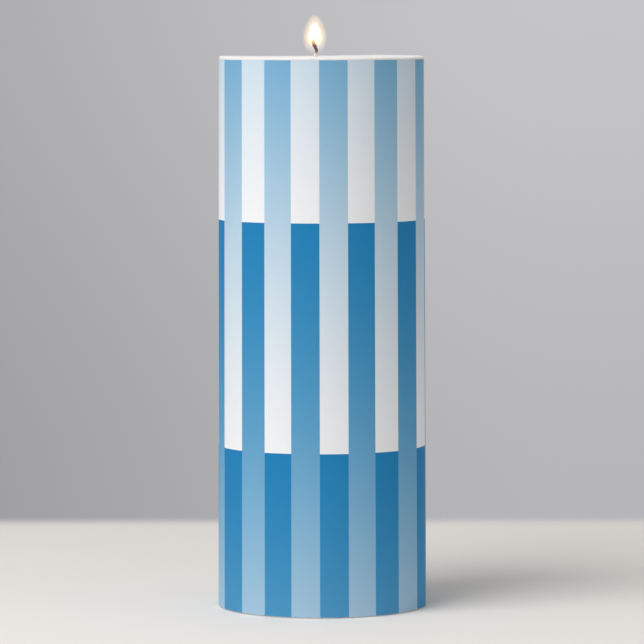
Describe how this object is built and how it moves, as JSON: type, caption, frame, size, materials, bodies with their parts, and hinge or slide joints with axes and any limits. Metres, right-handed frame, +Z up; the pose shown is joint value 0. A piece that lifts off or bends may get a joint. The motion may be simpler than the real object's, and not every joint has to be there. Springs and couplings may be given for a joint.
{
  "type": "pillar candle",
  "caption": "Tall round pillar candle with a striped printed wrap, a plain wax top, a wick with a leaning charred tip, and a crimped metal sustainer that holds the wick in the base.",
  "frame": {"origin": "centre of the foot, on the surface that the candle stands on", "axes": "+Z up along the pillar, -Y to the front, +X to the right as the front is seen"},
  "size_m": [0.077, 0.0772, 0.2094],
  "materials": {
    "pressed_wax": "matt pressed white wax",
    "dipped_wax": "satin white wax",
    "printed_film": "satin film printed in blue and white stripes",
    "wick_cotton": "braided cotton, charred at the tip",
    "tinplate": "stamped tinplate",
    "sealing_wax": "satin wax"
  },
  "bodies": {
    "root": {"wax_core": "pressed_wax", "wax_jacket": "dipped_wax", "printed_wrap": "printed_film", "wick": "wick_cotton", "wick_sustainer": "tinplate", "base_seal": "sealing_wax"}
  },
  "joints": []
}
